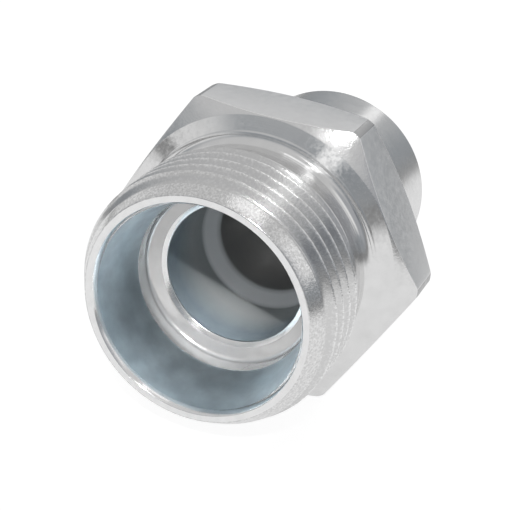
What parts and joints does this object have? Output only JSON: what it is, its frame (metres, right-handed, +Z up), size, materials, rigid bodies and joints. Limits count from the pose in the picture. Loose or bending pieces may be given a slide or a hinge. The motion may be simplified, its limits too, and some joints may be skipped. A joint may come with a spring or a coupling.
{
  "type": "reducing adapter fitting",
  "caption": "Turned steel hydraulic adapter: male thread and sealing cone socket at one end, hexagon, and a plain tube stub with a reduced bore at the other.",
  "frame": {"origin": "on the surface the fitting lies on, below the middle of its length and of its width", "axes": "+Y along the fitting's axis from the cone end to the plain stub, +Z up, square to the hexagon flat it lies on"},
  "size_m": [0.0284, 0.0318, 0.025],
  "materials": {
    "plated_steel": "bright zinc plating over fine turning marks"
  },
  "bodies": {
    "root": {"fitting_body": "plated_steel"}
  },
  "joints": []
}
